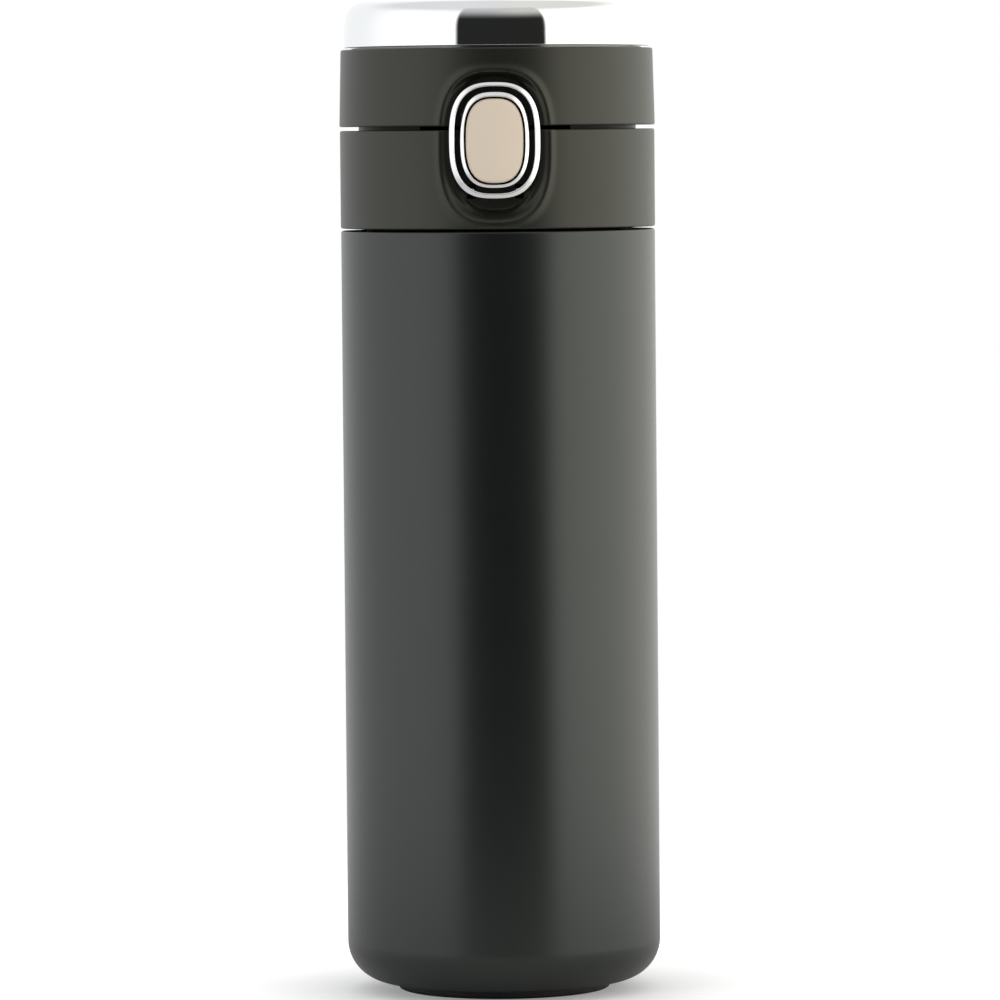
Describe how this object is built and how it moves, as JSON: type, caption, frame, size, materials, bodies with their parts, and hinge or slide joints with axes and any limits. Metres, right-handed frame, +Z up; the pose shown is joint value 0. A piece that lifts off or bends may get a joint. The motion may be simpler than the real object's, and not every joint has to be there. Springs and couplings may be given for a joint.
{
  "type": "vacuum flask",
  "caption": "Slim steel vacuum flask with screw-on collar, sprung flip lid, front push-button latch and a pivoting oval lock ring.",
  "frame": {"origin": "centre of the base, on the surface that the flask stands on", "axes": "+Z up the flask, button towards -Y, lid hinge towards +Y, +X to the flask's right seen from the front"},
  "size_m": [0.0702, 0.0774, 0.2212],
  "materials": {
    "body_paint": "satin powder coat",
    "liner_steel": "electropolished",
    "foil": "foil",
    "seal_metal": "dull",
    "foot_rubber": "matte",
    "cover_plastic": "fine matte texture",
    "core_plastic": "satin",
    "silicone": "soft",
    "chrome": "polished",
    "pad_beige": "soft touch",
    "spring_steel": "drawn wire"
  },
  "bodies": {
    "bottle": {"outer_shell": "body_paint", "outer_bottom": "body_paint", "inner_liner": "liner_steel", "reflective_foil": "foil", "getter": "seal_metal", "vacuum_seal": "seal_metal", "foot_pad": "foot_rubber"},
    "gasket_ring": {"plug_gasket": "silicone"},
    "collar": {"collar_shell": "cover_plastic", "stopper_core": "core_plastic", "spout": "core_plastic", "latch_cover": "core_plastic", "button_spring": "spring_steel", "hinge_pin": "spring_steel", "hinge_spring": "spring_steel", "lid_bumper": "foot_rubber"},
    "lid": {"lid_shell": "cover_plastic", "chrome_cap": "chrome", "lid_liner": "core_plastic", "lid_gasket": "silicone", "lid_catch": "spring_steel"},
    "button": {"button_body": "core_plastic", "button_trim": "chrome", "button_pad": "pad_beige"},
    "lock": {"lock_ring": "chrome"}
  },
  "joints": [
    {"name": "collar_rise", "type": "slide", "parent": "bottle", "child": "gasket_ring", "axis": [0, 0, 1], "range_m": [0, 0.00701]},
    {"name": "collar_unscrew", "type": "hinge", "parent": "gasket_ring", "child": "collar", "pos_m": [0, 0, 0.18], "axis": [0, 0, 1], "range_deg": [0, 630]},
    {"name": "lid_hinge", "type": "hinge", "parent": "collar", "child": "lid", "pos_m": [0, 0.038, 0.19243], "axis": [-1, 0, 0], "range_deg": [0, 125], "deforming": ["hinge_spring"]},
    {"name": "button_press", "type": "slide", "parent": "collar", "child": "button", "axis": [0, 1, 0], "range_m": [0, 0.0014], "stiffness_N_per_m": 400, "springref_m": -0.003, "deforming": ["button_spring"]},
    {"name": "lock_swing", "type": "hinge", "parent": "collar", "child": "lock", "pos_m": [0, -0.03135, 0.1787], "axis": [1, 0, 0], "range_deg": [0, 30]}
  ],
  "couplings": [
    {"joint": "collar_rise", "follows": "collar_unscrew", "m_per_rad": 0.00063662}
  ]
}
